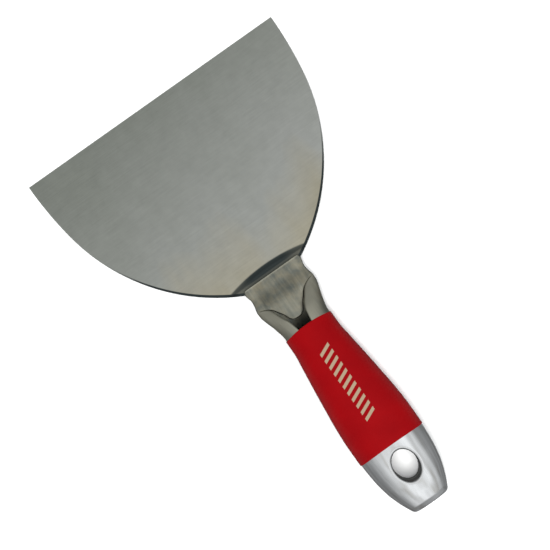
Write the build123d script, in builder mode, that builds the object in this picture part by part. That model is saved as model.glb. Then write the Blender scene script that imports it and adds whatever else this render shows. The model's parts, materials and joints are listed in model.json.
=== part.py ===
from build123d import *
from math import acos, asin, atan2, cos, degrees, radians, tan
import os

# Drywall taping knife: a taper-ground stainless blade lapped under a neck plate, whose tail
# is held in the flattened mouth of a wrapped stainless tube. The tube wears a red grip
# sleeve and ends in a solid hammer end that carries the hanging hole.
#
# The knife is drawn in its own plane and laid down on a table at the end.
# X runs across the blade. Y = 0 is the working edge and the handle runs to -Y, so a
# "station" is a distance in mm from the working edge. Z = 0 is the blade's back face.

# ---- blade, mm ----
BLADE_WIDTH = 150.0
EDGE_THICKNESS = 0.6        # at the working edge
HEEL_THICKNESS = 1.6        # where the ground face ends
FLANK_RADIUS = 200.0        # side outline next to the working edge
FLANK_LENGTH = 32.0
HEEL_RADIUS = 104.0         # side outline from there to the neck
RIM_LAND = 0.95             # square edge left under the rim bevel
RIM_BEVEL = 1.0             # height and lean from vertical of the bevel above it
RIM_SLOPE = 66.0
ROLL_START = 100.2          # the heel starts to roll down here, on the centre line
ROLL_RADIUS = 92.0          # the roll is an arc in plan
ROLL_LENGTH = 3.6
ROLL_FILLET = 3.0
JOGGLE = 1.4                # drop from the blade to the tang
TANG_WIDTH = 30.4
TANG_SHOULDER = 110.0
TANG_END = 112.5
TANG_CORNER = 2.0

# ---- neck plate ----
PLATE_START = 105.7         # its front edge
PLATE_THICKNESS = 1.5
PLATE_CORNER = 1.9
PLATE_EDGE_FILLET = 0.45
DIP_START = 113.2           # behind the lap it steps down to the handle's axis
DIP_END = 118.6
DIP = 0.8
MOUTH = 118.6               # the tube's front end
# half width and station along its side, from the front corner to the tube's mouth
PLATE_SIDE = [(17.1, 108.0), (16.2, 112.5), (16.55, 115.5), (17.35, MOUTH)]
# and along its tail, which tapers to a tongue inside the mouth
PLATE_TAIL = [(15.0, MOUTH), (14.2, 119.4), (9.6, 122.3), (4.4, 128.0), (4.2, 132.2)]
TONGUE_CORNER = 2.6

# ---- wrapped tube ----
WALL = 1.2
# Its edges stand apart over the neck: half gap and station.
THROAT = [
    (19.0, 117.0),
    (19.0, 118.1),
    (14.0, 119.6),
    (10.9, 121.6),
    (8.0, 127.0),
    (5.9, 130.5),
    (4.6, 137.2),
    (4.6, 141.0),
]
SEAM_WIDTH = 1.6            # behind the throat a weld closes the seam
TUBE_END = 209.0

# ---- sleeve and hammer end ----
SLEEVE_START = 139.0        # at the sides
SLEEVE_END = 212.1
SLEEVE_THICKNESS = 0.5
SLEEVE_GAP = 0.02           # it is shrunk on: drawn just clear of the metal
FRONT_BOW = 1.8             # both ends bow towards the blade
FRONT_HALF = 13.8
REAR_BOW = 1.1
REAR_HALF = 19.3
SPIGOT_LENGTH = 11.0
SPIGOT_GAP = 0.05
SPIGOT_WALL = 2.5
OVERALL = 247.4
BUTT_FILLET = 1.5
HOLE_STATION = 223.9
HOLE_WIDTH = 13.2
HOLE_LENGTH = 17.6
HOLE_LIP = 1.2

# ---- welds ----
NUGGET_RADIUS = 1.8
NUGGET_DEPTH = 0.5          # into each of the two sheets
NUGGET_SPOTS = [(-11.0, -109.0), (0.0, -109.0), (11.0, -109.0)]
BEAD_RADIUS = 1.0
TANG_BEAD = 24.0            # length across the tang's rear end
MOUTH_BEAD = 22.0           # length across the tube's mouth, on the back

# The metal's oval sections: station, half width, top and bottom.
SECTIONS = [
    (MOUTH, 17.35, 2.20, -1.90),
    (121.5, 17.25, 3.50, -2.20),
    (125.0, 16.40, 5.20, -2.80),
    (131.0, 14.55, 7.70, -4.20),
    (138.0, 13.25, 9.40, -5.90),
    (146.0, 13.30, 10.40, -7.50),
    (155.0, 14.25, 11.10, -8.90),
    (166.0, 15.60, 11.60, -10.00),
    (178.0, 16.90, 12.00, -10.90),
    (190.0, 18.10, 12.10, -11.30),
    (201.0, 18.65, 11.90, -11.30),
    (212.0, 18.65, 11.40, -10.90),
    (222.0, 18.05, 10.60, -10.10),
    (231.0, 16.60, 9.40, -8.90),
    (239.0, 14.10, 7.90, -7.30),
    (OVERALL, 10.30, 5.60, -5.00),
]
BORE_START = 178.0          # the spigot's bore is lofted from this section on
TALL = 60.0                 # taller and longer than the knife, for cutters
LONG = 300.0

tang_top = HEEL_THICKNESS - JOGGLE
tang_bottom = tang_top - HEEL_THICKNESS
plate_top = tang_top + PLATE_THICKNESS
tail_top = plate_top - DIP
tail_bottom = tang_top - DIP
roll_centre = -(ROLL_START + ROLL_RADIUS)
seam_start = THROAT[-1][1]


def ovals(grow=0.0, first=0.0):
    """The handle's sections from a station to the butt, each grown by an amount."""
    sections = []
    for station, half_width, top, bottom in SECTIONS:
        if station >= first:
            with BuildSketch(Plane.XZ.offset(station)) as section:
                with Locations((0, (top + bottom) / 2)):
                    Ellipse(half_width + grow, (top - bottom) / 2 + grow)
            sections.append(section.sketch)
    return sections


def slab(first, last, width=LONG, low=-TALL, high=TALL, mode=Mode.INTERSECT):
    """A box between two stations, two heights and the sides."""
    with Locations((0, -(first + last) / 2, (low + high) / 2)):
        Box(width, last - first, high - low, mode=mode)


def is_long(side):
    """Tells the blade's long side arcs from its small corners."""
    return side.radius > TANG_WIDTH


# ---- blade ----
half_blade = BLADE_WIDTH / 2
flank_turn = asin(FLANK_LENGTH / FLANK_RADIUS)
heel_centre = half_blade - FLANK_RADIUS + (FLANK_RADIUS - HEEL_RADIUS) * cos(flank_turn)
heel_turn = acos((PLATE_SIDE[0][0] - heel_centre) / HEEL_RADIUS) - flank_turn

with BuildSketch() as blade_outline:
    with BuildLine():
        edge = Line((0, 0), (half_blade, 0))
        flank = JernArc(edge @ 1, (0, -1), FLANK_RADIUS, -degrees(flank_turn))
        heel = JernArc(flank @ 1, flank % 1, HEEL_RADIUS, -degrees(heel_turn))
        Polyline(
            heel @ 1,
            (TANG_WIDTH / 2, -TANG_SHOULDER),
            (TANG_WIDTH / 2, -TANG_END),
            (0, -TANG_END),
            (0, 0),
        )
    make_face()
    mirror(about=Plane.YZ)
    fillet(blade_outline.vertices().group_by(Axis.Y)[0], radius=TANG_CORNER)

with BuildPart() as rim:
    # the outline as a prism, with its long edges bevelled down to the land
    with BuildSketch(Plane.XY.offset(tang_bottom)):
        add(blade_outline.sketch)
    extrude(amount=RIM_LAND + RIM_BEVEL - tang_bottom)
    bevelled_face = rim.faces().sort_by(Axis.Z)[-1]
    chamfer(
        bevelled_face.edges().filter_by(GeomType.CIRCLE).filter_by(is_long),
        length=RIM_BEVEL * tan(radians(RIM_SLOPE)),
        length2=RIM_BEVEL,
        reference=bevelled_face,
    )

with BuildPart() as under_blade:
    # what lies below the back face and isn't the rolled-down heel
    slab(-TALL, LONG, low=-TALL, high=0, mode=Mode.ADD)
    with Locations((0, roll_centre, tang_bottom)):
        Cone(
            ROLL_RADIUS - ROLL_LENGTH,
            ROLL_RADIUS,
            JOGGLE,
            align=(Align.CENTER, Align.CENTER, Align.MIN),
            mode=Mode.SUBTRACT,
        )

with BuildPart() as blade:
    with BuildSketch(Plane.YZ):
        with BuildLine():
            Polyline(
                (0, tang_bottom),
                (0, EDGE_THICKNESS),
                (-ROLL_START, HEEL_THICKNESS),
                (-TANG_END, HEEL_THICKNESS),
                (-TANG_END, tang_bottom),
                close=True,
            )
        make_face()
    extrude(amount=BLADE_WIDTH, both=True)
    with Locations((0, roll_centre, tang_top)):
        Cone(
            ROLL_RADIUS - ROLL_LENGTH,
            ROLL_RADIUS + ROLL_LENGTH,
            2 * JOGGLE,
            align=(Align.CENTER, Align.CENTER, Align.MIN),
            mode=Mode.SUBTRACT,
        )
    add(under_blade.part, mode=Mode.SUBTRACT)
    fillet(blade.edges().filter_by(GeomType.CIRCLE), radius=ROLL_FILLET)
    add(rim.part, mode=Mode.INTERSECT)
    with BuildSketch(Plane.XY.offset(tang_top)):
        with Locations(NUGGET_SPOTS):
            Circle(NUGGET_RADIUS)
    extrude(amount=-NUGGET_DEPTH, mode=Mode.SUBTRACT)


# ---- neck plate ----
with BuildPart() as neck_plate:
    with BuildSketch(Plane.XY.offset(tail_bottom)):
        with BuildLine():
            side = Spline([(half, -station) for half, station in PLATE_SIDE])
            Polyline(
                side @ 0,
                (PLATE_SIDE[0][0], -PLATE_START),
                (0, -PLATE_START),
                (0, -PLATE_TAIL[-1][1]),
            )
            Polyline([(0, -PLATE_TAIL[-1][1])] + [(half, -at) for half, at in reversed(PLATE_TAIL)])
            Line((PLATE_TAIL[0][0], -MOUTH), side @ 1)
        make_face()
        mirror(about=Plane.YZ)
    extrude(amount=plate_top - tail_bottom)
    upright = neck_plate.edges().filter_by(Axis.Z)
    fillet(upright.group_by(Axis.Y)[0], radius=TONGUE_CORNER)
    fillet(upright.group_by(Axis.Y)[-1], radius=PLATE_CORNER)
    fillet(neck_plate.edges().group_by(Axis.Z)[-1].group_by(Axis.Y)[-1], radius=PLATE_EDGE_FILLET)
    # the side profile, with the dip behind the lap
    with BuildSketch(Plane.YZ):
        with BuildLine():
            Polyline(
                (0, plate_top),
                (-DIP_START, plate_top),
                (-DIP_END, tail_top),
                (-LONG, tail_top),
                (-LONG, tail_bottom),
                (-DIP_END, tail_bottom),
                (-DIP_START, tang_top),
                (0, tang_top),
                close=True,
            )
        make_face()
    extrude(amount=BLADE_WIDTH, both=True, mode=Mode.INTERSECT)
    with BuildSketch(Plane.XY.offset(tang_top)):
        with Locations(NUGGET_SPOTS):
            Circle(NUGGET_RADIUS)
    extrude(amount=NUGGET_DEPTH, mode=Mode.SUBTRACT)

# ---- wrapped tube ----
with BuildPart() as seam_slot:
    slab(seam_start, TUBE_END, width=SEAM_WIDTH, low=0, mode=Mode.ADD)

with BuildPart() as handle_tube:
    loft(ovals())
    slab(0, TUBE_END)
    loft(ovals(grow=-WALL), mode=Mode.SUBTRACT)
    with BuildSketch(Plane.XY.offset(tail_top)):
        with BuildLine():
            Polyline([(half, -station) for half, station in THROAT])
            Polyline(
                (THROAT[-1][0], -THROAT[-1][1]),
                (0, -THROAT[-1][1]),
                (0, -THROAT[0][1]),
                (THROAT[0][0], -THROAT[0][1]),
            )
        make_face()
        mirror(about=Plane.YZ)
    extrude(amount=TALL, mode=Mode.SUBTRACT)
    add(seam_slot.part, mode=Mode.SUBTRACT)
    add(neck_plate.part, mode=Mode.SUBTRACT)

# ---- welds ----
with BuildPart() as seam_weld:
    loft(ovals())
    add(seam_slot.part, mode=Mode.INTERSECT)
    loft(ovals(grow=-WALL), mode=Mode.SUBTRACT)

with BuildPart() as tang_spot_welds:
    with BuildSketch(Plane.XY.offset(tang_top - NUGGET_DEPTH)):
        with Locations(NUGGET_SPOTS):
            Circle(NUGGET_RADIUS)
    extrude(amount=2 * NUGGET_DEPTH)

with BuildPart() as tang_end_weld:
    with BuildSketch(Plane.YZ):
        with Locations((-TANG_END, tang_top)):
            Circle(BEAD_RADIUS)
    extrude(amount=TANG_BEAD / 2, both=True)
    slab(TANG_END, LONG)
    add(neck_plate.part, mode=Mode.SUBTRACT)
    slab(0, LONG, high=tang_top)

with BuildPart() as mouth_weld:
    with BuildSketch(Plane.YZ):
        with Locations((-MOUTH, tail_bottom)):
            Circle(BEAD_RADIUS)
    extrude(amount=MOUTH_BEAD / 2, both=True)
    slab(0, MOUTH)
    add(neck_plate.part, mode=Mode.SUBTRACT)
    slab(0, LONG, high=tang_top - DIP / 2)

# ---- hammer end ----
with BuildPart() as spigot:
    loft(ovals(grow=-WALL - SPIGOT_GAP))
    loft(ovals(grow=-WALL - SPIGOT_GAP - SPIGOT_WALL, first=BORE_START), mode=Mode.SUBTRACT)
    slab(TUBE_END - SPIGOT_LENGTH, TUBE_END)

with BuildPart() as end_cap:
    loft(ovals())
    slab(TUBE_END, LONG)
    fillet(end_cap.edges().group_by(Axis.Y)[0], radius=BUTT_FILLET)
    with BuildSketch(Plane.XY.offset(-TALL / 2)):
        with Locations((0, -HOLE_STATION)):
            Ellipse(HOLE_WIDTH / 2, HOLE_LENGTH / 2)
    extrude(amount=TALL, mode=Mode.SUBTRACT)
    rims = end_cap.edges().sort_by(Axis.Z)
    fillet([rims[0], rims[-1]], radius=HOLE_LIP)
    add(spigot.part)


# ---- grip sleeve ----
with BuildPart() as grip_sleeve:
    loft(ovals(grow=SLEEVE_THICKNESS))
    loft(ovals(grow=SLEEVE_GAP), mode=Mode.SUBTRACT)
    with BuildSketch(Plane.XY.offset(-TALL / 2)):
        with BuildLine():
            ThreePointArc(
                (-REAR_HALF, -SLEEVE_END),
                (0, -SLEEVE_END + REAR_BOW),
                (REAR_HALF, -SLEEVE_END),
            )
            ThreePointArc(
                (-FRONT_HALF, -SLEEVE_START),
                (0, -SLEEVE_START + FRONT_BOW),
                (FRONT_HALF, -SLEEVE_START),
            )
            Polyline(
                (-REAR_HALF, -SLEEVE_END),
                (-TALL, -SLEEVE_END),
                (-TALL, -SLEEVE_START),
                (-FRONT_HALF, -SLEEVE_START),
            )
            Polyline(
                (REAR_HALF, -SLEEVE_END),
                (TALL, -SLEEVE_END),
                (TALL, -SLEEVE_START),
                (FRONT_HALF, -SLEEVE_START),
            )
        make_face()
    extrude(amount=TALL, mode=Mode.INTERSECT)


# ---- lay the knife down ----
# It rests on the working edge's back corner and on the handle's belly.
pitch = max(
    atan2(SLEEVE_THICKNESS - bottom, station)
    for station, half_width, top, bottom in SECTIONS
    if SLEEVE_START < station < SLEEVE_END
)
pieces = {
    "blade": blade,
    "neck_plate": neck_plate,
    "handle_tube": handle_tube,
    "seam_weld": seam_weld,
    "tang_spot_welds": tang_spot_welds,
    "tang_end_weld": tang_end_weld,
    "mouth_weld": mouth_weld,
    "end_cap": end_cap,
    "grip_sleeve": grip_sleeve,
}
for piece in pieces.values():
    piece.part = piece.part.moved(Rotation(-degrees(pitch), 0, 0))
whole = Compound([piece.part for piece in pieces.values()]).bounding_box()

os.makedirs("parts", exist_ok=True)
for name, piece in pieces.items():
    piece.part = piece.part.moved(Location((0, -whole.center().Y, -whole.min.Z)))
    piece.part.label = name
    export_step(piece.part, f"parts/{name}.step")
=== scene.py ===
import bmesh
import bpy
import json
import math
from mathutils import Matrix, Vector


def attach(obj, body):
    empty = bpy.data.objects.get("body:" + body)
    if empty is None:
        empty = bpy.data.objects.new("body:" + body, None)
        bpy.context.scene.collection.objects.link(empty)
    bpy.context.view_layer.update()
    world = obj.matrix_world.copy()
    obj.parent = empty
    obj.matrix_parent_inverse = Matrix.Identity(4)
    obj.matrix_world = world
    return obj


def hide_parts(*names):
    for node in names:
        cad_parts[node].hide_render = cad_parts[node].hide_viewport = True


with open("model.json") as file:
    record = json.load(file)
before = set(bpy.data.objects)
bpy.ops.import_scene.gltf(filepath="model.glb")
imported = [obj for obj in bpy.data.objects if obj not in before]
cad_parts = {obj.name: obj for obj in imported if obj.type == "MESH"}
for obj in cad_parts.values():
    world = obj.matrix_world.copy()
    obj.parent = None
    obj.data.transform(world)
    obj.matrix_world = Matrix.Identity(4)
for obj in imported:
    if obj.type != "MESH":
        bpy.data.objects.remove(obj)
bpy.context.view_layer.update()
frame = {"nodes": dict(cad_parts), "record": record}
print("frame loaded")

# The knife is shaped flat, in millimetres: x across the blade, y = 0 at the working edge
# with the handle towards -y, z = 0 on the blade's back face. A station is -y.
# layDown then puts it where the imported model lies, on its edge and its belly.
strike = next(m for m in frame["record"]["mounts"] if m["name"] == "striking_face")
overall = 247.4
tubeMouth = 118.6
tubeEnd = 209.0
ovalPower = 2.15            # how square the handle's ovals are: 2 would be an ellipse
strikeHeight = 0.3          # the striking face's middle, above the blade's back face
pitch = math.atan2(strike["axis"][2], -strike["axis"][1])
layDown = (
    Matrix.Translation(strike["pos_m"])
    @ Matrix.Rotation(-pitch, 4, "X")
    @ Matrix.Scale(0.001, 4)
    @ Matrix.Translation((0, overall, -strikeHeight))
)

# The handle's oval sections: station, half width, top, bottom.
handleSections = [
    (tubeMouth, 17.35, 2.20, -1.90),
    (121.5, 17.25, 3.50, -2.20),
    (125.0, 16.40, 5.20, -2.80),
    (131.0, 14.55, 7.70, -4.20),
    (138.0, 13.25, 9.40, -5.90),
    (146.0, 13.30, 10.40, -7.50),
    (155.0, 14.25, 11.10, -8.90),
    (166.0, 15.60, 11.60, -10.00),
    (178.0, 16.90, 12.00, -10.90),
    (190.0, 18.10, 12.10, -11.30),
    (201.0, 18.65, 11.90, -11.30),
    (212.0, 18.65, 11.40, -10.90),
    (222.0, 18.05, 10.60, -10.10),
    (231.0, 16.60, 9.40, -8.90),
    (239.0, 14.10, 7.90, -7.30),
    (overall, 10.30, 5.60, -5.00),
]


def clamp(value, low=0.0, high=1.0):
    return min(max(value, low), high)


def mix(first, second, share):
    return first + (second - first) * share


def ease(share):
    share = clamp(share)
    return share * share * (3 - 2 * share)


def readTable(table, station, column=1):
    # a smooth curve through one column of a table, level or straight where the table is
    rows = [(row[0], row[column]) for row in table]
    if station <= rows[0][0]:
        return rows[0][1]
    if station >= rows[-1][0]:
        return rows[-1][1]
    slopes = [(b[1] - a[1]) / (b[0] - a[0]) for a, b in zip(rows, rows[1:])]
    ends = [slopes[0]]
    for before, after in zip(slopes, slopes[1:]):
        ends.append(0 if before * after <= 0 else 2 * before * after / (before + after))
    ends.append(slopes[-1])
    for index, (a, b) in enumerate(zip(rows, rows[1:])):
        if station <= b[0]:
            span = b[0] - a[0]
            t = (station - a[0]) / span
            rise = a[1] * (1 + 2 * t) * (1 - t) ** 2 + b[1] * t * t * (3 - 2 * t)
            lean = ends[index] * t * (1 - t) ** 2 - ends[index + 1] * t * t * (1 - t)
            return rise + lean * span


def ovalPoint(station, angle, grow=0.0):
    # a point of the handle's section: angle 0 is the right side, a quarter turn is the top
    half = readTable(handleSections, station, 1) + grow
    top = readTable(handleSections, station, 2) + grow
    bottom = readTable(handleSections, station, 3) - grow
    power = 2 / ovalPower
    c, s = math.cos(angle), math.sin(angle)
    x = half * math.copysign(abs(c) ** power, c)
    z = (top + bottom) / 2 + (top - bottom) / 2 * math.copysign(abs(s) ** power, s)
    return Vector((x, -station, z))


def gridMesh(across, along, place, closed=False):
    # a grid whose vertices are put in place by their shares across and along, both 0 to 1
    mesh = bmesh.new()
    bmesh.ops.create_grid(mesh, x_segments=across, y_segments=along, size=0.5)
    wrap = mesh.verts.layers.float_vector.new("wrap")
    for vert in mesh.verts:
        share = (vert.co.x + 0.5, vert.co.y + 0.5)
        vert[wrap] = (share[0], share[1], 0)
        vert.co = place(*share)
    if closed:
        bmesh.ops.remove_doubles(mesh, verts=mesh.verts, dist=0.0001)
    return mesh


def sheetLoop(share, rounded):
    # once round the section of a sheet: out along its face, round one edge, back along the
    # other face and round the other edge; rounded is the share that each edge takes. Gives
    # the place along the face from -1 to 1, how far the edge bulges out and how deep in the
    # thickness it is.
    share %= 1
    side = 1 if share < 0.5 else -1
    step = share * 2 % 1
    if step < 1 - rounded:
        return side * (step / (1 - rounded) * 2 - 1), 0, (1 - side) / 2
    turn = math.pi * (step - 1 + rounded) / rounded
    return side, side * math.sin(turn), 0.5 - side * math.cos(turn) / 2


def endRound(distance, radius):
    # share of the full thickness at a distance from a rounded end
    return math.sqrt(1 - (1 - clamp(distance / radius)) ** 2)


def addPiece(name, mesh, material, nodes, modifiers=()):
    # turns a finished bmesh into a piece in its real place, riding on the knife's one body
    bmesh.ops.recalc_face_normals(mesh, faces=mesh.faces)
    for face in mesh.faces:
        face.smooth = True
    mesh.transform(layDown)
    data = bpy.data.meshes.new(name)
    mesh.to_mesh(data)
    mesh.free()
    data.materials.append(material)
    piece = bpy.data.objects.new(name, data)
    bpy.context.scene.collection.objects.link(piece)
    for kind, settings in modifiers:
        modifier = piece.modifiers.new(kind.title(), kind)
        for key, value in settings.items():
            setattr(modifier, key, value)
    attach(piece, "root")
    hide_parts(*nodes)
    print("made", name)


def softEdge(width, segments):
    # a small round on the sharp edges, with flat faces left flat
    return ("BEVEL", {
        "width": width / 1000,
        "segments": segments,
        "limit_method": "ANGLE",
        "angle_limit": math.radians(35),
        "harden_normals": True,
        "use_clamp_overlap": True,
    })


def toLinear(hexColour):
    # sRGB hex to the linear colour that shaders take
    parts = [int(hexColour[i:i + 2], 16) / 255 for i in (1, 3, 5)]
    linear = [p / 12.92 if p <= 0.04045 else ((p + 0.055) / 1.055) ** 2.4 for p in parts]
    return (*linear, 1)


def addNode(tree, kind, inputs=(), **settings):
    # adds a node: settings are its properties, inputs its values or the sockets that feed it
    node = tree.nodes.new(kind)
    for key, value in settings.items():
        setattr(node, key, value)
    for key, value in dict(inputs).items():
        if isinstance(value, bpy.types.NodeSocket):
            tree.links.new(value, node.inputs[key])
        else:
            node.inputs[key].default_value = value
    return node


def newMaterial(name):
    material = bpy.data.materials.new(name)
    material.use_nodes = True
    tree = material.node_tree
    return material, tree, tree.nodes["Principled BSDF"]


# Ground 420 stainless: the belt leaves a fine even grain across the blade. The blade is
# darker towards the working edge and paler towards the heel, which is faintly straw-coloured,
# and towards the right side. These tones are a painted reflection of the sheet's slight waviness,
# pushed into soft diagonal bands by the smears that use leaves along with hairline scratches.
# The pressed roll and the rim get a painted dark reflection.
groundSteel = {
    "edge": "#95988f",
    "middle": "#b9bab4",
    "heel": "#bbb5a0",
    "smudge": "#62645c",
    "skin": "#3b4140",
    "roughness": 0.36,
    "grain": 0.3,               # mm between grain lines, coarser than real to show
    "grainDepth": 0.05,
    "mottle": 6.0,              # mm across a mottle
    "mottleDepth": 0.05,
    "smear": 34.0,              # mm across a smear
    "smearTurn": -35.0,         # degrees from square across the blade
    "push": 0.08,               # m that a full smear moves the tones
    "scratch": 16.0,            # mm between scratches
    "scratchTurn": -22.0,
    "scratchWidth": 0.0025,     # share of that gap
    "scratchBreaks": 70.0,      # per m, where a scratch lifts off
    # m along the blade between which one tone turns into the next
    "edgeToMiddle": (0.09, -0.02),
    "middleToHeel": (0.012, -0.02),
}


def makeGroundSteel():
    material, tree, shader = newMaterial("GroundStainless")
    place = addNode(tree, "ShaderNodeTexCoord").outputs["Object"]
    spot = addNode(tree, "ShaderNodeSeparateXYZ", {"Vector": place})
    smear = addNode(tree, "ShaderNodeTexNoise", {
        "Vector": addNode(tree, "ShaderNodeMapping", {
            "Vector": place,
            "Rotation": (0, 0, math.radians(groundSteel["smearTurn"])),
            "Scale": (1, 0.4, 1),
        }).outputs["Vector"],
        "Scale": 1000 / groundSteel["smear"], "Detail": 3, "Roughness": 0.5,
    }).outputs["Fac"]
    grain = addNode(tree, "ShaderNodeTexNoise", {
        "Vector": addNode(tree, "ShaderNodeMapping", {
            "Vector": place, "Scale": (0.02, 1, 1),
        }).outputs["Vector"],
        "Scale": 1000 / groundSteel["grain"], "Detail": 2,
    }).outputs["Fac"]
    # how far back a point is, pushed about by the smears, paler towards the right side; this drives the
    # painted reflection's tones
    lengthways = addNode(tree, "ShaderNodeMath", {
        0: smear, 1: -groundSteel["push"], 2: spot.outputs["Y"],
    }, operation="MULTIPLY_ADD").outputs[0]
    wander = addNode(tree, "ShaderNodeMath", {
        0: spot.outputs["X"], 1: -0.3, 2: lengthways,
    }, operation="MULTIPLY_ADD").outputs[0]
    colour = addNode(tree, "ShaderNodeMix", {
        0: addNode(tree, "ShaderNodeMapRange", {
            "Value": wander,
            "From Min": groundSteel["edgeToMiddle"][0],
            "From Max": groundSteel["edgeToMiddle"][1],
        }).outputs["Result"],
        6: toLinear(groundSteel["edge"]),
        7: toLinear(groundSteel["middle"]),
    }, data_type="RGBA").outputs[2]
    colour = addNode(tree, "ShaderNodeMix", {
        0: addNode(tree, "ShaderNodeMapRange", {
            "Value": lengthways,
            "From Min": groundSteel["middleToHeel"][0],
            "From Max": groundSteel["middleToHeel"][1],
        }).outputs["Result"],
        6: colour, 7: toLinear(groundSteel["heel"]),
    }, data_type="RGBA").outputs[2]
    # thin contours of a long drawn-out noise, broken up into short ticks
    drawn = addNode(tree, "ShaderNodeTexNoise", {
        "Vector": addNode(tree, "ShaderNodeMapping", {
            "Vector": place,
            "Rotation": (0, 0, math.radians(groundSteel["scratchTurn"])),
            "Scale": (0.05, 1, 1),
        }).outputs["Vector"],
        "Scale": 1000 / groundSteel["scratch"], "Detail": 0,
    }).outputs["Fac"]
    line = addNode(tree, "ShaderNodeMath", {
        0: drawn, 1: 0.5, 2: groundSteel["scratchWidth"],
    }, operation="COMPARE").outputs[0]
    broken = addNode(tree, "ShaderNodeMapRange", {
        "Value": addNode(tree, "ShaderNodeTexNoise", {
            "Vector": place, "Scale": groundSteel["scratchBreaks"], "Detail": 1,
        }).outputs["Fac"],
        "From Min": 0.6, "From Max": 0.64,
    }).outputs["Result"]
    scratch = addNode(tree, "ShaderNodeMath", {0: line, 1: broken}, operation="MULTIPLY").outputs[0]
    colour = addNode(tree, "ShaderNodeMix", {
        0: scratch, 6: colour, 7: toLinear(groundSteel["smudge"]),
    }, data_type="RGBA").outputs[2]
    # the grain and a faint mottle show as light and dark too
    mottle = addNode(tree, "ShaderNodeTexNoise", {
        "Vector": place, "Scale": 1000 / groundSteel["mottle"], "Detail": 4, "Roughness": 0.65,
    }).outputs["Fac"]
    for pattern, depth in ((grain, groundSteel["grainDepth"]), (mottle, groundSteel["mottleDepth"])):
        shade = addNode(tree, "ShaderNodeMapRange", {
            "Value": pattern, "From Min": 0.3, "From Max": 0.7,
            "To Min": 1 - depth, "To Max": 1 + depth,
        }).outputs["Result"]
        colour = addNode(tree, "ShaderNodeVectorMath", {
            0: colour, "Scale": shade,
        }, operation="SCALE").outputs["Vector"]
    # the painted dark reflection on the roll and rim comes from the blade's own attribute
    skin = addNode(tree, "ShaderNodeAttribute", attribute_name="skin").outputs["Fac"]
    colour = addNode(tree, "ShaderNodeMix", {
        0: skin, 6: colour, 7: toLinear(groundSteel["skin"]),
    }, data_type="RGBA").outputs[2]
    rough = addNode(tree, "ShaderNodeMapRange", {
        "Value": smear, "From Min": 0.3, "From Max": 0.75,
        "To Min": groundSteel["roughness"] - 0.06, "To Max": groundSteel["roughness"] + 0.08,
    }).outputs["Result"]
    relief = addNode(tree, "ShaderNodeMath", {
        0: scratch, 1: -1.5, 2: grain,
    }, operation="MULTIPLY_ADD").outputs[0]
    bump = addNode(tree, "ShaderNodeBump", {
        "Height": relief, "Strength": 0.12, "Distance": 0.00002,
    }).outputs["Normal"]
    tree.links.new(colour, shader.inputs["Base Color"])
    tree.links.new(rough, shader.inputs["Roughness"])
    tree.links.new(bump, shader.inputs["Normal"])
    shader.inputs["Metallic"].default_value = 1
    return material


# Satin-pressed 304 stainless: tumbled after pressing, so it is dull and slightly mottled,
# with faint drawing marks running lengthways; painted shade darkens the hollows and a painted highlight
# lightens edges.
satinSteel = {
    "colour": "#9c9682",
    "dark": "#83867d",
    "darkShadeAndStreaks": "#454841",
    "lighter": "#c6c3b0",
    "roughness": 0.4,
    "mottle": 5.0,              # mm across a mottle
    "fine": 9.0,                # times finer than the mottle: the tumbled texture
    "drawn": 2.6,               # mm between drawing marks
    "drawnDepth": 0.13,
}


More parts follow.
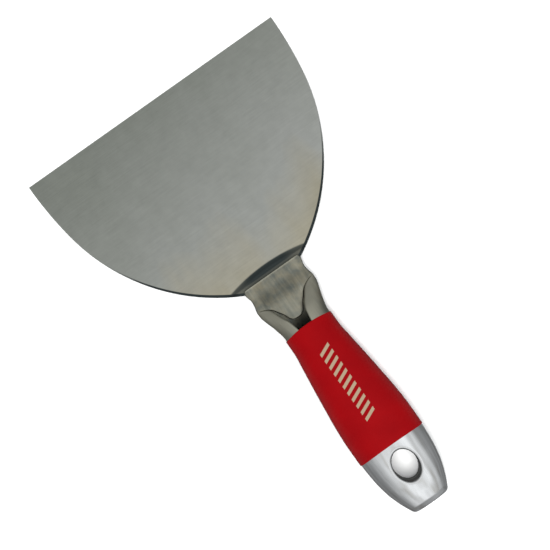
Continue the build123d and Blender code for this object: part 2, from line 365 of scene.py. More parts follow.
def makeSatinSteel():
    material, tree, shader = newMaterial("SatinPressedStainless")
    place = addNode(tree, "ShaderNodeTexCoord").outputs["Object"]
    mottle = addNode(tree, "ShaderNodeTexNoise", {
        "Vector": place, "Scale": 1000 / satinSteel["mottle"], "Detail": 4, "Roughness": 0.6,
    }).outputs["Fac"]
    fine = addNode(tree, "ShaderNodeTexNoise", {
        "Vector": place, "Scale": satinSteel["fine"] * 1000 / satinSteel["mottle"], "Detail": 2,
    }).outputs["Fac"]
    colour = addNode(tree, "ShaderNodeMix", {
        0: addNode(tree, "ShaderNodeMapRange", {
            "Value": mottle, "From Min": 0.35, "From Max": 0.65,
        }).outputs["Result"],
        6: toLinear(satinSteel["colour"]),
        7: toLinear(satinSteel["dark"]),
    }, data_type="RGBA").outputs[2]
    # drawing marks run lengthways where the press stretched the sheet
    drawn = addNode(tree, "ShaderNodeTexNoise", {
        "Vector": addNode(tree, "ShaderNodeMapping", {
            "Vector": place, "Scale": (1, 0.1, 0.5),
        }).outputs["Vector"],
        "Scale": 1000 / satinSteel["drawn"], "Detail": 3, "Roughness": 0.6,
    }).outputs["Fac"]
    # each pressing's tone attribute, with the drawing marks added: 0 is painted shade in hollows, 1 a
    # painted highlight
    tone = addNode(tree, "ShaderNodeMath", {
        0: addNode(tree, "ShaderNodeMapRange", {
            "Value": drawn, "From Min": 0.3, "From Max": 0.7,
            "To Min": -satinSteel["drawnDepth"], "To Max": satinSteel["drawnDepth"],
        }).outputs["Result"],
        1: addNode(tree, "ShaderNodeAttribute", attribute_name="tone").outputs["Fac"],
    }, operation="ADD").outputs[0]
    colour = addNode(tree, "ShaderNodeMix", {
        0: addNode(tree, "ShaderNodeMapRange", {
            "Value": tone, "From Min": 0.5, "From Max": 0.0,
        }).outputs["Result"],
        6: colour, 7: toLinear(satinSteel["darkShadeAndStreaks"]),
    }, data_type="RGBA").outputs[2]
    colour = addNode(tree, "ShaderNodeMix", {
        0: addNode(tree, "ShaderNodeMapRange", {
            "Value": tone, "From Min": 0.5, "From Max": 1.0,
        }).outputs["Result"],
        6: colour, 7: toLinear(satinSteel["lighter"]),
    }, data_type="RGBA").outputs[2]
    rough = addNode(tree, "ShaderNodeMapRange", {
        "Value": mottle, "From Min": 0.3, "From Max": 0.7,
        "To Min": satinSteel["roughness"] - 0.06, "To Max": satinSteel["roughness"] + 0.06,
    }).outputs["Result"]
    bump = addNode(tree, "ShaderNodeBump", {
        "Height": fine, "Strength": 0.2, "Distance": 0.00003,
        "Normal": addNode(tree, "ShaderNodeBump", {
            "Height": mottle, "Strength": 0.25, "Distance": 0.00012,
        }).outputs["Normal"],
    }).outputs["Normal"]
    tree.links.new(colour, shader.inputs["Base Color"])
    tree.links.new(rough, shader.inputs["Roughness"])
    tree.links.new(bump, shader.inputs["Normal"])
    shader.inputs["Metallic"].default_value = 1
    return material


# Buffed cast stainless: a mirror that the buffing wheel has left very slightly wavy, with
# hairlines from lying among other tools.
buffedSteel = {
    "colour": "#e6e6e4",
    "bore": "#55534a",
    "roughness": 0.08,
    "wave": 11.0,               # mm across a wave
    "hair": 0.5,                # mm between hairlines
    "hairTurn": 18.0,           # degrees
    "boreRough": 0.35,          # how much rougher the hole is
}


def makeBuffedSteel():
    material, tree, shader = newMaterial("BuffedStainless")
    place = addNode(tree, "ShaderNodeTexCoord").outputs["Object"]
    wave = addNode(tree, "ShaderNodeTexNoise", {
        "Vector": place, "Scale": 1000 / buffedSteel["wave"], "Detail": 2, "Roughness": 0.4,
    }).outputs["Fac"]
    hair = addNode(tree, "ShaderNodeTexNoise", {
        "Vector": addNode(tree, "ShaderNodeMapping", {
            "Vector": place,
            "Rotation": (0, 0, math.radians(buffedSteel["hairTurn"])),
            "Scale": (1, 0.04, 1),
        }).outputs["Vector"],
        "Scale": 1000 / buffedSteel["hair"], "Detail": 1,
    }).outputs["Fac"]
    rough = addNode(tree, "ShaderNodeMapRange", {
        "Value": hair, "From Min": 0.35, "From Max": 0.75,
        "To Min": buffedSteel["roughness"] - 0.03, "To Max": buffedSteel["roughness"] + 0.09,
    }).outputs["Result"]
    bump = addNode(tree, "ShaderNodeBump", {
        "Height": hair, "Strength": 0.06, "Distance": 0.00002,
        "Normal": addNode(tree, "ShaderNodeBump", {
            "Height": wave, "Strength": 0.25, "Distance": 0.0005,
        }).outputs["Normal"],
    }).outputs["Normal"]
    # the wheel doesn't reach into the hole, which stays as cast and rougher; its wall is also darkened
    # with painted shade
    bore = addNode(tree, "ShaderNodeAttribute", attribute_name="bore").outputs["Fac"]
    colour = addNode(tree, "ShaderNodeMix", {
        0: bore, 6: toLinear(buffedSteel["colour"]), 7: toLinear(buffedSteel["bore"]),
    }, data_type="RGBA").outputs[2]
    rough = addNode(tree, "ShaderNodeMath", {
        0: bore, 1: buffedSteel["boreRough"], 2: rough,
    }, operation="MULTIPLY_ADD").outputs[0]
    tree.links.new(colour, shader.inputs["Base Color"])
    tree.links.new(rough, shader.inputs["Roughness"])
    tree.links.new(bump, shader.inputs["Normal"])
    shader.inputs["Metallic"].default_value = 1
    return material


# TIG weld in stainless, wire-brushed: paler than the sheet, with straw-coloured patches.
weldBead = {
    "colour": "#b4afa1",
    "straw": "#8a7a5c",
    "roughness": 0.42,
    "grit": 0.8,                # mm across a speck
}


def makeWeldMetal():
    material, tree, shader = newMaterial("BrushedWeld")
    place = addNode(tree, "ShaderNodeTexCoord").outputs["Object"]
    grit = addNode(tree, "ShaderNodeTexNoise", {
        "Vector": place, "Scale": 1000 / weldBead["grit"], "Detail": 3,
    }).outputs["Fac"]
    colour = addNode(tree, "ShaderNodeMix", {
        0: grit, 6: toLinear(weldBead["colour"]), 7: toLinear(weldBead["straw"]),
    }, data_type="RGBA").outputs[2]
    bump = addNode(tree, "ShaderNodeBump", {
        "Height": grit, "Strength": 0.4, "Distance": 0.0001,
    }).outputs["Normal"]
    tree.links.new(colour, shader.inputs["Base Color"])
    tree.links.new(bump, shader.inputs["Normal"])
    shader.inputs["Roughness"].default_value = weldBead["roughness"]
    shader.inputs["Metallic"].default_value = 1
    return material


# Shrunk-on PVC: smooth and only softly glossy, with a faint orange-peel, darker where it is
# handled. A row of slanted bars is printed along the front.
redVinyl = {
    "colour": "#8e0106",
    "deep": "#740106",
    "print": "#98866f",
    "roughness": 0.5,
    "peel": 2.2,                # mm across a dimple, coarser than real to show
    "handled": 60.0,            # per m, patches darkened by handling
    "barStart": 151.0,          # stations of the row's two ends
    "barEnd": 193.5,
    "barHalf": 3.4,
    "barPitch": 3.9,
    "barShare": 0.46,           # of the pitch that is printed
    "barSlant": 0.45,
}


def makeRedVinyl():
    material, tree, shader = newMaterial("ShrunkRedPvc")
    place = addNode(tree, "ShaderNodeTexCoord").outputs["Object"]
    peel = addNode(tree, "ShaderNodeTexNoise", {
        "Vector": place, "Scale": 1000 / redVinyl["peel"], "Detail": 2, "Roughness": 0.5,
    }).outputs["Fac"]
    handled = addNode(tree, "ShaderNodeTexNoise", {
        "Vector": place, "Scale": redVinyl["handled"], "Detail": 3,
    }).outputs["Fac"]
    colour = addNode(tree, "ShaderNodeMix", {
        0: handled, 6: toLinear(redVinyl["colour"]), 7: toLinear(redVinyl["deep"]),
    }, data_type="RGBA").outputs[2]
    # the print: x is mm across the front, y is the station, z tells front from back
    spot = addNode(tree, "ShaderNodeSeparateXYZ", {
        "Vector": addNode(tree, "ShaderNodeAttribute", attribute_name="spot").outputs["Vector"],
    })
    slanted = addNode(tree, "ShaderNodeMath", {
        0: spot.outputs["X"], 1: redVinyl["barSlant"], 2: spot.outputs["Y"],
    }, operation="MULTIPLY_ADD").outputs[0]
    saw = addNode(tree, "ShaderNodeMath", {
        0: slanted, 1: redVinyl["barPitch"],
    }, operation="FLOORED_MODULO").outputs[0]
    bar = addNode(tree, "ShaderNodeMath", {
        0: saw, 1: redVinyl["barPitch"] * redVinyl["barShare"],
    }, operation="LESS_THAN").outputs[0]
    middle = (redVinyl["barStart"] + redVinyl["barEnd"]) / 2
    lengthways = addNode(tree, "ShaderNodeMath", {
        0: slanted, 1: middle, 2: (redVinyl["barEnd"] - redVinyl["barStart"]) / 2,
    }, operation="COMPARE").outputs[0]
    sideways = addNode(tree, "ShaderNodeMath", {
        0: spot.outputs["X"], 1: 0.0, 2: redVinyl["barHalf"],
    }, operation="COMPARE").outputs[0]
    front = addNode(tree, "ShaderNodeMath", {
        0: spot.outputs["Z"], 1: 0.0,
    }, operation="GREATER_THAN").outputs[0]
    printed = bar
    for mask in (lengthways, sideways, front):
        printed = addNode(tree, "ShaderNodeMath", {
            0: printed, 1: mask,
        }, operation="MULTIPLY").outputs[0]
    colour = addNode(tree, "ShaderNodeMix", {
        0: printed, 6: colour, 7: toLinear(redVinyl["print"]),
    }, data_type="RGBA").outputs[2]
    rough = addNode(tree, "ShaderNodeMapRange", {
        "Value": handled, "From Min": 0.3, "From Max": 0.7,
        "To Min": redVinyl["roughness"] - 0.06, "To Max": redVinyl["roughness"] + 0.08,
    }).outputs["Result"]
    bump = addNode(tree, "ShaderNodeBump", {
        "Height": peel, "Strength": 0.5, "Distance": 0.00012,
    }).outputs["Normal"]
    tree.links.new(colour, shader.inputs["Base Color"])
    tree.links.new(rough, shader.inputs["Roughness"])
    tree.links.new(bump, shader.inputs["Normal"])
    shader.inputs["IOR"].default_value = 1.53
    shader.inputs["Specular IOR Level"].default_value = 0.1
    return material


groundStainless = makeGroundSteel()
satinStainless = makeSatinSteel()
buffedStainless = makeBuffedSteel()
weldMetal = makeWeldMetal()
redPvc = makeRedVinyl()
print("materials made")

blade = {
    "halfWidth": 75.0,
    "edge": 0.6,                # thickness at the working edge and at the heel
    "heel": 1.6,
    "flankRadius": 200.0,
    "flankLength": 32.0,
    "heelRadius": 104.0,
    "heelEnd": 107.9,           # where the heel's outline meets the neck
    "rollStart": 100.2,
    "rollRadius": 92.0,
    "rollLength": 3.6,
    "drop": 1.4,
    "land": 0.95,               # height of the square rim under its bevel
    "bevelSlope": 66.0,
    "tangHalf": 15.2,
    "tangShoulder": 110.0,
    "tangEnd": 112.5,
    "tangCorner": 2.0,
    "edgeRound": 0.12,
    "leastRim": 0.02,           # the bevel is never lower than this
    "crispBand": 0.15,          # width of the column that keeps the bevel sharp
    # the painted dark reflection: how far before the roll it starts, and how fast it comes in
    "skinLead": 0.2,
    "shadeFade": 0.8,
    "shadeEased": 0.12,         # share of the painted dark reflection taken off next to the neck plate, and towards the sides
    "lighterFrom": 104.2,
    "lighterRun": 0.6,
    "sideEase": 9.0,             # mm out from the middle where the sides start to lighten
    "rimColumns": 1.5,          # columns of the grid that count as rim
    "rimShadeFrom": 52.0,        # along the rim the painted dark reflection comes in from here
    "rimShadeRun": 26.0,
    "rows": [(0.0, 0.0), (0.45, 88.0), (0.62, 99.0), (0.9, 108.0), (1.0, 112.5)],
    "across": 120,
    "along": 150,
}


def bladeHalf(station):
    flankTurn = math.asin(blade["flankLength"] / blade["flankRadius"])
    reach = blade["flankRadius"] - blade["heelRadius"]
    heelX = blade["halfWidth"] - blade["flankRadius"] + reach * math.cos(flankTurn)
    heelY = reach * math.sin(flankTurn)
    if station <= blade["flankLength"]:
        turn = math.asin(station / blade["flankRadius"])
        half = blade["halfWidth"] - blade["flankRadius"] * (1 - math.cos(turn))
    else:
        turn = math.asin((min(station, blade["heelEnd"]) - heelY) / blade["heelRadius"])
        half = heelX + blade["heelRadius"] * math.cos(turn)
    if station > blade["heelEnd"]:
        neck = (station - blade["heelEnd"]) / (blade["tangShoulder"] - blade["heelEnd"])
        half = mix(half, blade["tangHalf"], clamp(neck))
        past = max(station - blade["tangEnd"] + blade["tangCorner"], 0)
        corner = math.sqrt(max(blade["tangCorner"] ** 2 - past ** 2, 0))
        half -= blade["tangCorner"] - corner
        turn = 0
    return half, math.cos(turn)


def bladeRoll(x, station):
    # share of the roll-down behind a point, 0 on the blade and 1 on the tang
    away = math.hypot(x, blade["rollStart"] + blade["rollRadius"] - station)
    return ease((blade["rollRadius"] - away) / blade["rollLength"])


def bladeTop(u, v):
    station = readTable(blade["rows"], v)
    half, lean = bladeHalf(station)
    thick = mix(blade["edge"], blade["heel"], clamp(station / blade["rollStart"]))
    high = max(thick - blade["land"], blade["leastRim"])
    inset = min(high * math.tan(math.radians(blade["bevelSlope"])) / lean, half * 0.5)
    # the last column is the rim, the one before it the bevel's top, and one just inside
    # keeps the dark bevel crisp
    side = u * 2 - 1
    column = round((1 - abs(side)) * blade["across"] / 2)
    innermost = 1 - 4 / blade["across"]
    reach = side / innermost * (half - inset - blade["crispBand"])
    x = math.copysign({0: half, 1: half - inset}.get(column, abs(reach)), side)
    z = thick - high if column == 0 else thick
    return Vector((x, -station, z - blade["drop"] * bladeRoll(x, station)))


def makeBlade():
    mesh = gridMesh(blade["across"], blade["along"], bladeTop)
    skin = mesh.verts.layers.float.new("skin")
    wrap = mesh.verts.layers.float_vector["wrap"]
    top = set(mesh.verts)
    bmesh.ops.extrude_face_region(mesh, geom=mesh.faces[:])
    for vert in mesh.verts:
        station = -vert.co.y
        roll = bladeRoll(vert.co.x, station)
        if vert not in top:
            vert.co.z = -blade["drop"] * roll
        # the painted dark reflection covers the roll and all behind it, a little lighter next to the
        # neck
        lighter = blade["shadeEased"] * ease((station - blade["lighterFrom"]) / blade["lighterRun"])
        sides = blade["shadeEased"] * ease((abs(vert.co.x) - blade["sideEase"]) / blade["sideEase"])
        away = math.hypot(vert.co.x, blade["rollStart"] + blade["rollRadius"] - station)
        covered = ease((blade["rollRadius"] + blade["skinLead"] - away) / blade["shadeFade"])
        vert[skin] = covered * (1 - lighter - sides)
        # along the rim the painted dark reflection comes in towards the heel
        fromRim = min(vert[wrap].x, 1 - vert[wrap].x) * blade["across"]
        if vert in top and fromRim < blade["rimColumns"]:
            vert[skin] = max(vert[skin], ease((station - blade["rimShadeFrom"]) / blade["rimShadeRun"]))
    edge = softEdge(blade["edgeRound"], 2)
    addPiece("blade_sheet", mesh, groundStainless, ["blade"], [edge])


makeBlade()

neckPlate = {
    "start": 105.7,
    "thick": 1.5,
    "top": 1.7,
    "dipStart": 112.6,
    "dipEnd": 118.6,
    "dip": 0.8,
    "edgeRound": 0.5,
    "frontCorner": 1.9,
    "tongueCorner": 2.6,
    "tongueEnd": 132.2,
    # half widths: the neck's sides, then the tongue that runs into the tube's throat
    "left": [
        (105.7, 17.1), (108.0, 17.1), (112.5, 16.2), (115.5, 16.55), (118.7, 17.3), (119.3, 15.6),
        (119.9, 13.7), (121.6, 10.6), (125.0, 8.2), (128.0, 6.4), (132.2, 4.9),
    ],
    "right": [
        (105.7, 17.1), (108.0, 17.1), (112.5, 16.2), (115.5, 16.55), (118.7, 17.3), (119.3, 15.6),
        (119.9, 13.4), (121.6, 9.9), (125.0, 7.0), (128.0, 4.6), (132.2, 2.4),
    ],
    "crown": 0.25,              # how far the middle of the tongue stands up
    "crownFrom": 118.0,
    "crownRun": 6.0,
    # tone: as pressed, darker in the dip as painted shade, bright at the front edge as a painted
    # highlight, paler on the tongue as painted light
    "plainTone": 0.52,
    "dipShade": 0.22,
    "edgeHighlight": 0.4,
    "tongueLight": 0.12,
    # the stations where those tones change, and how fast
    "darkFrom": 110.5,
    "darkUntil": 116.5,
    "darkFade": 4.0,
    "litFrom": 105.9,
    "litFade": 1.2,
    "tongueFrom": 119.0,
    "tongueFade": 3.0,
    "edgeShare": 0.1,
    "around": 160,
    "rows": [(0.0, 105.7), (0.1, 106.3), (0.5, 118.3), (0.62, 120.0), (0.88, 130.8), (1.0, 132.2)],
    "along": 150,
}


def platePoint(u, v):
    station = readTable(neckPlate["rows"], v)
    along, bulge, depth = sheetLoop(u, neckPlate["edgeShare"])
    fromFront = station - neckPlate["start"]
    fromTip = neckPlate["tongueEnd"] - station
    full = endRound(min(fromFront, fromTip), neckPlate["edgeRound"])
    half = readTable(neckPlate["right" if along > 0 else "left"], station)
    for corner, distance in (
        (neckPlate["frontCorner"], fromFront), (neckPlate["tongueCorner"], fromTip),
    ):
        if distance < corner:
            half -= corner * (1 - endRound(distance, corner))
    half -= neckPlate["edgeRound"]
    dip = ease((station - neckPlate["dipStart"]) / (neckPlate["dipEnd"] - neckPlate["dipStart"]))
    rise = ease((station - neckPlate["crownFrom"]) / neckPlate["crownRun"])
    crown = neckPlate["crown"] * rise * (1 - along * along)
    z = neckPlate["top"] - neckPlate["dip"] * dip + crown
    through = 0.5 + (depth - 0.5) * full
    x = along * half + bulge * neckPlate["edgeRound"] * full
    return Vector((x, -station, z - neckPlate["thick"] * through))


def makeNeckPlate():
    mesh = gridMesh(neckPlate["around"], neckPlate["along"], platePoint, closed=True)
    tone = mesh.verts.layers.float.new("tone")
    for vert in mesh.verts:
        station = -vert.co.y
        darker = ease((station - neckPlate["darkFrom"]) / neckPlate["darkFade"])
        dip = darker * (1 - ease((station - neckPlate["darkUntil"]) / neckPlate["darkFade"]))
        lit = 1 - ease((station - neckPlate["litFrom"]) / neckPlate["litFade"])
        lit = neckPlate["edgeHighlight"] * lit
        tongue = ease((station - neckPlate["tongueFrom"]) / neckPlate["tongueFade"])
        tongue = neckPlate["tongueLight"] * tongue
        # painted shade in the dip, a painted highlight at the front edge and painted light on the tongue
        vert[tone] = neckPlate["plainTone"] - neckPlate["dipShade"] * dip + lit + tongue
    addPiece("neck_plate_sheet", mesh, satinStainless, ["neck_plate"])


makeNeckPlate()

tube = {
    "wall": 1.2,
    "endRound": 0.25,
    # half gaps between the wrapped edges: the throat, then the seam under the sleeve
    "left": [
        (118.6, 17.3), (119.0, 16.2), (119.6, 14.4), (121.6, 11.8), (125.0, 10.4), (128.0, 9.0),
        (131.4, 7.2), (137.2, 5.6), (141.0, 4.6), (145.0, 0.8), (209.0, 0.8),
    ],
    "right": [
        (118.6, 17.3), (119.0, 16.0), (119.6, 14.0), (121.6, 10.8), (125.0, 8.2), (128.0, 6.0),
        (131.4, 4.5), (137.2, 3.6), (141.0, 3.2), (145.0, 0.8), (209.0, 0.8),
    ],
    # tone: on the outside, a painted highlight along the wrapped edges, and painted shade inside
    "outsideTone": 0.66,
    "wrappedHighlight": 0.4,
    "insideShade": 0.4,
    "lighterFrom": 0.62,         # share of the way to the wrapped edges
    "edgeShare": 1 / 12,
    "around": 240,
    "rows": [(0.0, 118.6), (0.06, 119.0), (0.3, 123.0), (0.65, 142.0), (0.97, 208.4), (1.0, 209.0)],
    "along": 130,
}


def tubePoint(u, v):
    station = readTable(tube["rows"], v)
    along, bulge, depth = sheetLoop(u, tube["edgeShare"])
    half = readTable(handleSections, station, 1)
    ends = [
        math.acos(clamp(readTable(tube[side], station) / half) ** (ovalPower / 2))
        for side in ("left", "right")
    ]
    angle = mix(-math.pi - ends[0], ends[1], (along + 1) / 2)
    nudge = 0.01
    speed = (ovalPoint(station, angle + nudge) - ovalPoint(station, angle)).length / nudge
    full = endRound(min(station - tubeMouth, tubeEnd - station), tube["endRound"])
    angle += bulge * full * tube["wall"] / 2 / max(speed, 3)
    return ovalPoint(station, angle, grow=-tube["wall"] * (0.5 + (depth - 0.5) * full))


def makeTube():
    mesh = gridMesh(tube["around"], tube["along"], tubePoint, closed=True)
    tone = mesh.verts.layers.float.new("tone")
    wrap = mesh.verts.layers.float_vector["wrap"]
    for vert in mesh.verts:
        # painted shade inside, and on the outside a painted highlight, brightest along the wrapped edges
        along, _, depth = sheetLoop(vert[wrap].x, tube["edgeShare"])
        lighter = ease((abs(along) - tube["lighterFrom"]) / (1 - tube["lighterFrom"]))
        outside = tube["outsideTone"] + tube["wrappedHighlight"] * lighter
        vert[tone] = mix(outside, tube["insideShade"], ease(depth * 1.4 - 0.2))
    addPiece("wrapped_tube", mesh, satinStainless, ["handle_tube"])


makeTube()

sleeve = {
    "start": 139.0,
    "end": 212.1,
    "thick": 0.5,
    "inside": 0.02,             # gap over the tube
    "frontBow": 1.8,
    "rearBow": 1.1,
    "edgeShare": 1 / 15,
    "around": 128,
    "along": 240,
}


def sleevePoint(u, v):
    angle = u * 2 * math.pi - math.pi / 2
    share = math.cos(angle) ** 2
    start = sleeve["start"] - sleeve["frontBow"] * (1 - share)
    end = sleeve["end"] - sleeve["rearBow"] * (1 - share)
    along, bulge, depth = sheetLoop(v, sleeve["edgeShare"])
    wall = sleeve["thick"] - sleeve["inside"]
    station = mix(start + wall / 2, end - wall / 2, (along + 1) / 2) + bulge * wall / 2
    return ovalPoint(station, angle, grow=sleeve["thick"] - wall * depth)


def makeSleeve():
    mesh = gridMesh(sleeve["around"], sleeve["along"], sleevePoint, closed=True)
    spot = mesh.verts.layers.float_vector.new("spot")
    for vert in mesh.verts:
        vert[spot] = (vert.co.x, -vert.co.y, vert.co.z)
    addPiece("grip_cover", mesh, redPvc, ["grip_sleeve"])


makeSleeve()

hammerEnd = {
    "hole": 223.9,
    "holeHalf": 6.6,
    "holeLong": 8.8,
    "lip": 1.5,
    "corner": 1.5,              # round between the sides and the striking face
    "facet": 2.9,               # the struck edge's flat, front and back
    "facetDrop": 1.3,
    "ridge": 0.12,              # parting line left inside the hole
    "ridgeStep": 0.25,
    "ridgeReach": 0.3,
    # steps up the hole's wall, over its lip and out along the face
    "wallSteps": 12,
    "lipSteps": 24,
    "faceSteps": 120,
    # the bore's painted shade and roughness: how far past the hole they show, and where they fade out
    # over the lip
    "boreRim": 1.12,
    "boreFade": 0.1,
    "lipFrom": 0.8,
    "lipFade": 0.15,
    "lineHalf": 0.5,            # mm, half the height of the paler line in the bore
    "linePale": 0.45,
    "around": 180,
    "through": 132,
}


def capSection(station):
    # half width, middle and half depth, with the corner and the facet cut in
    half = readTable(handleSections, station, 1)
    top = readTable(handleSections, station, 2)
    bottom = readTable(handleSections, station, 3)
    past = max(station - overall + hammerEnd["corner"], 0)
    half -= hammerEnd["corner"] - math.sqrt(max(hammerEnd["corner"] ** 2 - past ** 2, 0))
    cut = max(station - overall + hammerEnd["facet"], 0) / hammerEnd["facet"]
    return half, (top + bottom) / 2, (top - bottom) / 2 - hammerEnd["facetDrop"] * cut


def capHeight(x, station):
    half, middle, deep = capSection(station)
    return middle, deep * max(1 - abs(x / half) ** ovalPower, 0) ** (1 / ovalPower)


def capReach(direction):
    # how far a ray from the hole's middle runs before it leaves the plan outline
    low, high = 0.0, 40.0
    for _ in range(40):
        reach = (low + high) / 2
        x, station = direction[0] * reach, hammerEnd["hole"] + direction[1] * reach
        inside = tubeEnd <= station <= overall and abs(x) < capSection(station)[0]
        low, high = (reach, high) if inside else (low, reach)
    return low


def capProfile(direction):
    # the cap cut along one ray: up the hole's wall, over the lip, out, and down to the middle
    c, s = direction
    holeEdge = 1 / math.hypot(c / hammerEnd["holeHalf"], s / hammerEnd["holeLong"])
    lip, reach = hammerEnd["lip"], capReach(direction)
    walls = []
    for side in (1, -1):
        line = []
        for step in range(hammerEnd["wallSteps"] + 1):
            fall = (step * hammerEnd["ridgeStep"]) ** 2 / hammerEnd["ridgeReach"]
            ridge = hammerEnd["ridge"] * math.exp(-fall)
            middle, high = capHeight(c * holeEdge, hammerEnd["hole"] + s * holeEdge)
            line.append((holeEdge - ridge, middle + side * (high - lip) * step / hammerEnd["wallSteps"]))
        for step in range(1, hammerEnd["lipSteps"] + 1):
            turn = math.pi / 2 * step / hammerEnd["lipSteps"]
            out = holeEdge + lip * (1 - math.cos(turn))
            middle, high = capHeight(c * out, hammerEnd["hole"] + s * out)
            line.append((out, middle + side * (high - lip * (1 - math.sin(turn)))))
        for step in range(1, hammerEnd["faceSteps"] + 1):
            turn = math.pi / 2 * step / hammerEnd["faceSteps"]
            out = mix(holeEdge + lip, reach, math.sin(turn))
            middle, high = capHeight(c * out, hammerEnd["hole"] + s * out)
            line.append((out, middle + side * high))
        line.append((reach, middle))
        walls.append(line)
    return walls[0] + walls[1][-2::-1]


def evenly(line, count):
    # the same line as points spaced evenly along it
    lengths = [0.0]
    for a, b in zip(line, line[1:]):
        lengths.append(lengths[-1] + math.dist(a, b))
    points, index = [], 0
    for step in range(count + 1):
        goal = lengths[-1] * step / count
        while index < len(line) - 2 and lengths[index + 1] < goal:
            index += 1
        span = max(lengths[index + 1] - lengths[index], 1e-9)
        share = clamp((goal - lengths[index]) / span)
        points.append([mix(p, q, share) for p, q in zip(line[index], line[index + 1])])
    return points


def makeHammerEnd():
    profiles = []
    for index in range(hammerEnd["around"] + 1):
        turn = 2 * math.pi * index / hammerEnd["around"]
        direction = (math.cos(turn), math.sin(turn))
        profiles.append((direction, evenly(capProfile(direction), hammerEnd["through"])))

    def capPoint(u, v):
        direction, line = profiles[round(u * hammerEnd["around"])]
        out, z = line[round(v * hammerEnd["through"])]
        return Vector((direction[0] * out, -hammerEnd["hole"] - direction[1] * out, z))

    mesh = gridMesh(hammerEnd["around"], hammerEnd["through"], capPoint, closed=True)
    bore = mesh.verts.layers.float.new("bore")
    for vert in mesh.verts:
        x = vert.co.x / hammerEnd["holeHalf"]
        y = (-vert.co.y - hammerEnd["hole"]) / hammerEnd["holeLong"]
        middle, high = capHeight(vert.co.x, -vert.co.y)
        lipDown = abs(vert.co.z - middle) / max(high, 1)
        # painted shade down the hole's wall, fading out over the lip, with a paler line where the two
        # halves of the mould met
        line = math.exp(-((vert.co.z - middle) / hammerEnd["lineHalf"]) ** 2)
        wall = ease((hammerEnd["boreRim"] - math.hypot(x, y)) / hammerEnd["boreFade"])
        wall *= 1 - ease((lipDown - hammerEnd["lipFrom"]) / hammerEnd["lipFade"])
        vert[bore] = wall * (1 - hammerEnd["linePale"] * line)
    addPiece("hammer_end", mesh, buffedStainless, ["end_cap"])


makeHammerEnd()

beads = {
    "radius": 1.0,
    "ripple": 1.1,              # mm between ripples
    "height": 0.1,
    "blunt": 8,                 # how suddenly the ends close
    "around": 20,
    "rowsPerMm": 6,
}


def makeBead(name, node, station, level, length, start, end):
    # a fillet bead along x, with the ripples that a hand-fed weld leaves
    def beadPoint(u, v):
        x = (v - 0.5) * length
        taper = math.sqrt(max(1 - abs(v * 2 - 1) ** beads["blunt"], 0))
        ripple = beads["height"] * abs(math.sin(math.pi * x / beads["ripple"]))
        radius = (beads["radius"] - beads["height"] + ripple) * max(taper, 0.02)
        angle = mix(math.radians(start), math.radians(end), u)
        return Vector((x, -station + radius * math.cos(angle), level + radius * math.sin(angle)))

    mesh = gridMesh(beads["around"], int(length * beads["rowsPerMm"]), beadPoint, closed=True)
    bmesh.ops.holes_fill(mesh, edges=[edge for edge in mesh.edges if edge.is_boundary])
    addPiece(name, mesh, weldMetal, [node])


makeBead("tang_bead", "tang_end_weld", blade["tangEnd"], 0.2, 24.0, 170, 280)
makeBead("mouth_bead", "mouth_weld", tubeMouth, -0.55, 22.0, 260, 365)

for node in ("seam_weld", "tang_spot_welds"):
    hidden = frame["nodes"][node]
    hidden.data.materials.clear()
    hidden.data.materials.append(weldMetal)
print("pieces made")

stage = {
    "floor": 4.0,
    "under": 0.0001,            # the knife's lowest point just clears the paper
    "paper": "#efefee",
    # the room's brightness from the horizon (0) to straight overhead (1)
    "room": [(0.0, 0.24), (0.3, 0.28), (0.6, 0.42), (0.85, 0.84), (0.94, 1.05), (1.0, 1.3)],
    "brightest": (0, -0.26, 0.966),
    "uneven": 2.6,              # patches of light and shade on the walls
    "unevenFrom": 0.72,
    "unevenTo": 1.3,
    "warm": "#fbf5e8",
    "cool": "#eef1f5",
    "backdrop": 0.9,
    "lamp": 3.4,
    "lampSize": 26.0,           # degrees across, so that shadows stay soft
    "lampLean": 4.0,            # degrees towards the left
}


def makeFloor():
    mesh = bmesh.new()
    bmesh.ops.create_grid(mesh, x_segments=1, y_segments=1, size=stage["floor"] / 2)
    bmesh.ops.translate(mesh, vec=(0, 0, -stage["under"]), verts=mesh.verts)
    data = bpy.data.meshes.new("floor")
    mesh.to_mesh(data)
    mesh.free()
    material, tree, shader = newMaterial("PalePaper")
    shader.inputs["Base Color"].default_value = toLinear(stage["paper"])
    shader.inputs["Roughness"].default_value = 0.9
    data.materials.append(material)
    floor = bpy.data.objects.new("floor", data)
    bpy.context.scene.collection.objects.link(floor)
    floor.visible_glossy = False    # polished steel mirrors the dim room, not the paper


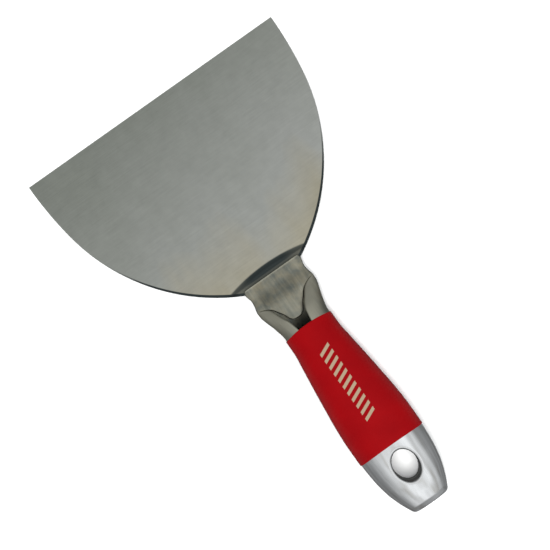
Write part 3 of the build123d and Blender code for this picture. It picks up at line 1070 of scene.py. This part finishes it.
def makeRoom():
    # a soft ceiling that fades to a dim horizon, with a plain pale backdrop
    world = bpy.data.worlds.new("studio")
    world.use_nodes = True
    tree = world.node_tree
    background = tree.nodes["Background"]
    height = addNode(tree, "ShaderNodeVectorMath", {
        0: addNode(tree, "ShaderNodeTexCoord").outputs["Generated"],
        1: stage["brightest"],
    }, operation="DOT_PRODUCT").outputs["Value"]
    ramp = addNode(tree, "ShaderNodeValToRGB", {"Fac": height})
    ramp.color_ramp.interpolation = "B_SPLINE"
    while len(ramp.color_ramp.elements) < len(stage["room"]):
        ramp.color_ramp.elements.new(0.5)
    for element, (position, bright) in zip(ramp.color_ramp.elements, stage["room"]):
        element.position = position
        element.color = (bright, bright, bright, 1)
    uneven = addNode(tree, "ShaderNodeMapRange", {
        "Value": addNode(tree, "ShaderNodeTexNoise", {
            "Vector": addNode(tree, "ShaderNodeTexCoord").outputs["Generated"],
            "Scale": stage["uneven"], "Detail": 2,
        }).outputs["Fac"],
        "From Min": 0.35, "From Max": 0.65,
        "To Min": stage["unevenFrom"], "To Max": stage["unevenTo"],
    }).outputs["Result"]
    tint = addNode(tree, "ShaderNodeMix", {
        0: uneven, 6: toLinear(stage["warm"]), 7: toLinear(stage["cool"]),
    }, data_type="RGBA").outputs[2]
    walls = addNode(tree, "ShaderNodeVectorMath", {
        0: ramp.outputs["Color"], 1: tint,
    }, operation="MULTIPLY").outputs["Vector"]
    walls = addNode(tree, "ShaderNodeVectorMath", {
        0: walls, "Scale": uneven,
    }, operation="SCALE").outputs["Vector"]
    seen = addNode(tree, "ShaderNodeMix", {
        0: addNode(tree, "ShaderNodeLightPath").outputs["Is Camera Ray"],
        6: walls,
        7: (stage["backdrop"], stage["backdrop"], stage["backdrop"], 1),
    }, data_type="RGBA").outputs[2]
    tree.links.new(seen, background.inputs["Color"])
    bpy.context.scene.world = world


def makeLamp():
    # a broad lamp overhead that whitens the paper; it is kept out of the steel's reflections
    data = bpy.data.lights.new("overhead", "SUN")
    data.energy = stage["lamp"]
    data.angle = math.radians(stage["lampSize"])
    lamp = bpy.data.objects.new("overhead", data)
    lamp.rotation_euler = (0, -math.radians(stage["lampLean"]), 0)
    lamp.visible_glossy = False
    bpy.context.scene.collection.objects.link(lamp)


makeFloor()
makeRoom()
makeLamp()

# The camera stands square over the blade's plane, rolled so that the knife runs down to
# the right.
view = {
    "station": 108.0,           # the point that it looks at
    "across": 1.3,
    "away": 900.0,              # mm above the blade's plane
    "covers": 278.74,           # mm across at that plane
    "up": (0.577, 0.8167),
    "sensor": 36,
}


def makeCamera():
    data = bpy.data.cameras.new("camera")
    data.sensor_width = view["sensor"]
    data.lens = view["sensor"] * view["away"] / view["covers"]
    camera = bpy.data.objects.new("camera", data)
    flat = layDown.to_3x3().normalized()
    up = (flat @ Vector((*view["up"], 0))).normalized()
    back = (flat @ Vector((0, 0, 1))).normalized()
    turn = Matrix((up.cross(back), up, back)).transposed().to_4x4()
    camera.matrix_world = Matrix.Translation(
        layDown @ Vector((view["across"], -view["station"], view["away"]))
    ) @ turn
    bpy.context.scene.collection.objects.link(camera)
    bpy.context.scene.camera = camera


makeCamera()
bpy.context.scene.view_settings.view_transform = "Standard"
print("stage made")
